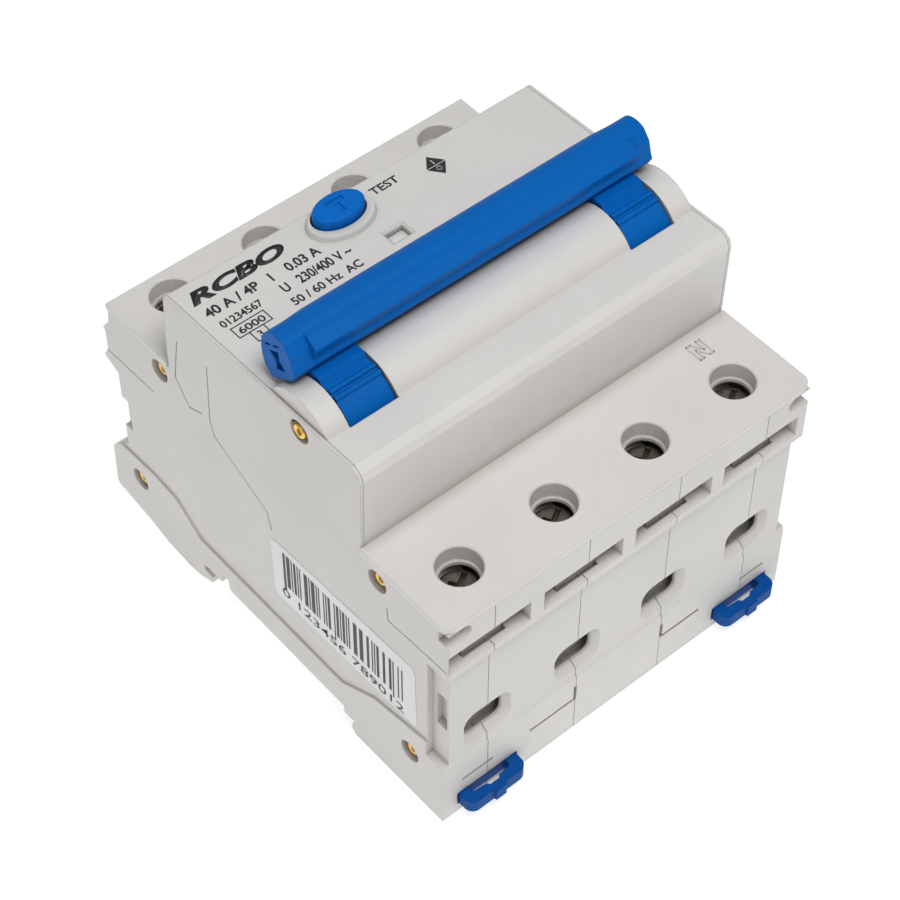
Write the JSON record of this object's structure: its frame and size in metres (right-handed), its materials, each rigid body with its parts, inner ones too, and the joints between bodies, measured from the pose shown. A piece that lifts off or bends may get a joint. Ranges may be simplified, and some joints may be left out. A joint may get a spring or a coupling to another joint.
{
  "type": "residual current circuit breaker",
  "caption": "Modular residual current circuit breaker for a 35 mm rail, with a tied toggle handle, test button, status window and screw terminals.",
  "frame": {"origin": "middle of the seat face that rests on the front of the rail", "axes": "+Z out of the rail towards the front of the device, +X along the rail to the right seen from the front, +Y towards the incoming terminals (top end when mounted)"},
  "size_m": [0.072, 0.0885, 0.0777],
  "materials": {
    "side_plastic": "satin light grey",
    "pole_plastic": "satin light grey",
    "cover_plastic": "satin very light grey",
    "rivet_brass": "dull",
    "label_white": "matt print",
    "blue_plastic": "satin blue",
    "clip_plastic": "satin blue",
    "steel": "bright",
    "screw_steel": "zinc plated",
    "terminal_metal": "tin plated",
    "copper": "bare",
    "flag_white": "matt",
    "dark_plastic": "matt black",
    "core_plastic": "matt black",
    "board_green": "solder mask"
  },
  "bodies": {
    "housing": {"left_side_shell": "side_plastic", "pole_shell_1": "pole_plastic", "pole_shell_2": "pole_plastic", "pole_shell_3": "pole_plastic", "right_side_shell": "side_plastic", "front_cover": "cover_plastic", "housing_rivets": "rivet_brass", "side_label": "label_white", "toggle_axle": "steel", "test_contact": "copper", "flag_bracket": "pole_plastic", "outgoing_terminal_plates": "terminal_metal", "incoming_terminal_plates": "terminal_metal", "fixed_contacts": "copper", "arc_chutes": "steel", "magnet_coils": "copper", "bimetal_strips": "steel", "summation_transformer": "core_plastic", "pole_conductors": "copper", "trip_relay": "dark_plastic", "circuit_board": "board_green"},
    "handle": {"handle_bar": "blue_plastic", "toggle_left": "blue_plastic", "toggle_right": "blue_plastic"},
    "contacts": {"contact_carrier": "dark_plastic", "moving_contacts": "copper"},
    "link": {"closing_link": "steel"},
    "trip": {"trip_bar": "dark_plastic"},
    "flag": {"status_flag": "flag_white"},
    "button": {"test_button": "blue_plastic", "test_spring": "steel"},
    "clip_left": {"din_clip_left": "clip_plastic"},
    "clip_right": {"din_clip_right": "clip_plastic"},
    "outgoing_screw_1": {"outgoing_screw_1": "screw_steel"},
    "outgoing_clamp_1": {"outgoing_clamp_1": "terminal_metal"},
    "outgoing_screw_2": {"outgoing_screw_2": "screw_steel"},
    "outgoing_clamp_2": {"outgoing_clamp_2": "terminal_metal"},
    "outgoing_screw_3": {"outgoing_screw_3": "screw_steel"},
    "outgoing_clamp_3": {"outgoing_clamp_3": "terminal_metal"},
    "outgoing_screw_4": {"outgoing_screw_4": "screw_steel"},
    "outgoing_clamp_4": {"outgoing_clamp_4": "terminal_metal"},
    "incoming_screw_1": {"incoming_screw_1": "screw_steel"},
    "incoming_clamp_1": {"incoming_clamp_1": "terminal_metal"},
    "incoming_screw_2": {"incoming_screw_2": "screw_steel"},
    "incoming_clamp_2": {"incoming_clamp_2": "terminal_metal"},
    "incoming_screw_3": {"incoming_screw_3": "screw_steel"},
    "incoming_clamp_3": {"incoming_clamp_3": "terminal_metal"},
    "incoming_screw_4": {"incoming_screw_4": "screw_steel"},
    "incoming_clamp_4": {"incoming_clamp_4": "terminal_metal"}
  },
  "joints": [
    {"name": "handle_hinge", "type": "hinge", "parent": "housing", "child": "handle", "pos_m": [0, -0.0104, 0.0579], "axis": [1, 0, 0], "range_deg": [0, 56]},
    {"name": "contacts_hinge", "type": "hinge", "parent": "housing", "child": "contacts", "pos_m": [0, -0.002, 0.027], "axis": [1, 0, 0], "range_deg": [0, 20]},
    {"name": "flag_hinge", "type": "hinge", "parent": "housing", "child": "flag", "pos_m": [-0.0013, 0.0088, 0.0532], "axis": [1, 0, 0], "range_deg": [0, 30]},
    {"name": "link_slide", "type": "slide", "parent": "housing", "child": "link", "axis": [0, 0, -1], "range_m": [0, 0.00432]},
    {"name": "trip_hinge", "type": "hinge", "parent": "housing", "child": "trip", "pos_m": [0, -0.002, 0.0445], "axis": [1, 0, 0], "range_deg": [0, 12], "stiffness_Nm_per_rad": 0.004, "springref_deg": -8.59},
    {"name": "button_slide", "type": "slide", "parent": "housing", "child": "button", "axis": [0, 0, -1], "range_m": [0, 0.0012], "stiffness_N_per_m": 500, "springref_m": -0.0012, "deforming": ["test_spring"]},
    {"name": "clip_left_slide", "type": "slide", "parent": "housing", "child": "clip_left", "axis": [0, -1, 0], "range_m": [0, 0.003], "stiffness_N_per_m": 1500, "springref_m": -0.001},
    {"name": "clip_right_slide", "type": "slide", "parent": "housing", "child": "clip_right", "axis": [0, -1, 0], "range_m": [0, 0.003], "stiffness_N_per_m": 1500, "springref_m": -0.001},
    {"name": "outgoing_screw_1_turn", "type": "hinge", "parent": "housing", "child": "outgoing_screw_1", "pos_m": [-0.027, -0.0357, 0.041], "axis": [0, 0, -1], "range_deg": [0, 2430]},
    {"name": "outgoing_clamp_1_lift", "type": "slide", "parent": "housing", "child": "outgoing_clamp_1", "axis": [0, 0, 1], "range_m": [0, 0.0054]},
    {"name": "outgoing_screw_2_turn", "type": "hinge", "parent": "housing", "child": "outgoing_screw_2", "pos_m": [-0.009, -0.0357, 0.041], "axis": [0, 0, -1], "range_deg": [0, 2430]},
    {"name": "outgoing_clamp_2_lift", "type": "slide", "parent": "housing", "child": "outgoing_clamp_2", "axis": [0, 0, 1], "range_m": [0, 0.0054]},
    {"name": "outgoing_screw_3_turn", "type": "hinge", "parent": "housing", "child": "outgoing_screw_3", "pos_m": [0.009, -0.0357, 0.041], "axis": [0, 0, -1], "range_deg": [0, 2430]},
    {"name": "outgoing_clamp_3_lift", "type": "slide", "parent": "housing", "child": "outgoing_clamp_3", "axis": [0, 0, 1], "range_m": [0, 0.0054]},
    {"name": "outgoing_screw_4_turn", "type": "hinge", "parent": "housing", "child": "outgoing_screw_4", "pos_m": [0.027, -0.0357, 0.041], "axis": [0, 0, -1], "range_deg": [0, 2430]},
    {"name": "outgoing_clamp_4_lift", "type": "slide", "parent": "housing", "child": "outgoing_clamp_4", "axis": [0, 0, 1], "range_m": [0, 0.0054]},
    {"name": "incoming_screw_1_turn", "type": "hinge", "parent": "housing", "child": "incoming_screw_1", "pos_m": [-0.027, 0.0328, 0.041], "axis": [0, 0, -1], "range_deg": [0, 2430]},
    {"name": "incoming_clamp_1_lift", "type": "slide", "parent": "housing", "child": "incoming_clamp_1", "axis": [0, 0, 1], "range_m": [0, 0.0054]},
    {"name": "incoming_screw_2_turn", "type": "hinge", "parent": "housing", "child": "incoming_screw_2", "pos_m": [-0.009, 0.0328, 0.041], "axis": [0, 0, -1], "range_deg": [0, 2430]},
    {"name": "incoming_clamp_2_lift", "type": "slide", "parent": "housing", "child": "incoming_clamp_2", "axis": [0, 0, 1], "range_m": [0, 0.0054]},
    {"name": "incoming_screw_3_turn", "type": "hinge", "parent": "housing", "child": "incoming_screw_3", "pos_m": [0.009, 0.0328, 0.041], "axis": [0, 0, -1], "range_deg": [0, 2430]},
    {"name": "incoming_clamp_3_lift", "type": "slide", "parent": "housing", "child": "incoming_clamp_3", "axis": [0, 0, 1], "range_m": [0, 0.0054]},
    {"name": "incoming_screw_4_turn", "type": "hinge", "parent": "housing", "child": "incoming_screw_4", "pos_m": [0.027, 0.0328, 0.041], "axis": [0, 0, -1], "range_deg": [0, 2430]},
    {"name": "incoming_clamp_4_lift", "type": "slide", "parent": "housing", "child": "incoming_clamp_4", "axis": [0, 0, 1], "range_m": [0, 0.0054]}
  ],
  "couplings": [
    {"joint": "contacts_hinge", "follows": "handle_hinge", "ratio": 0.357},
    {"joint": "flag_hinge", "follows": "handle_hinge", "ratio": 0.535},
    {"joint": "link_slide", "follows": "handle_hinge", "m_per_rad": 0.0044},
    {"joint": "outgoing_screw_1_turn", "follows": "outgoing_clamp_1_lift", "rad_per_m": 7853.9},
    {"joint": "outgoing_screw_2_turn", "follows": "outgoing_clamp_2_lift", "rad_per_m": 7853.9},
    {"joint": "outgoing_screw_3_turn", "follows": "outgoing_clamp_3_lift", "rad_per_m": 7853.9},
    {"joint": "outgoing_screw_4_turn", "follows": "outgoing_clamp_4_lift", "rad_per_m": 7853.9},
    {"joint": "incoming_screw_1_turn", "follows": "incoming_clamp_1_lift", "rad_per_m": 7853.9},
    {"joint": "incoming_screw_2_turn", "follows": "incoming_clamp_2_lift", "rad_per_m": 7853.9},
    {"joint": "incoming_screw_3_turn", "follows": "incoming_clamp_3_lift", "rad_per_m": 7853.9},
    {"joint": "incoming_screw_4_turn", "follows": "incoming_clamp_4_lift", "rad_per_m": 7853.9}
  ]
}
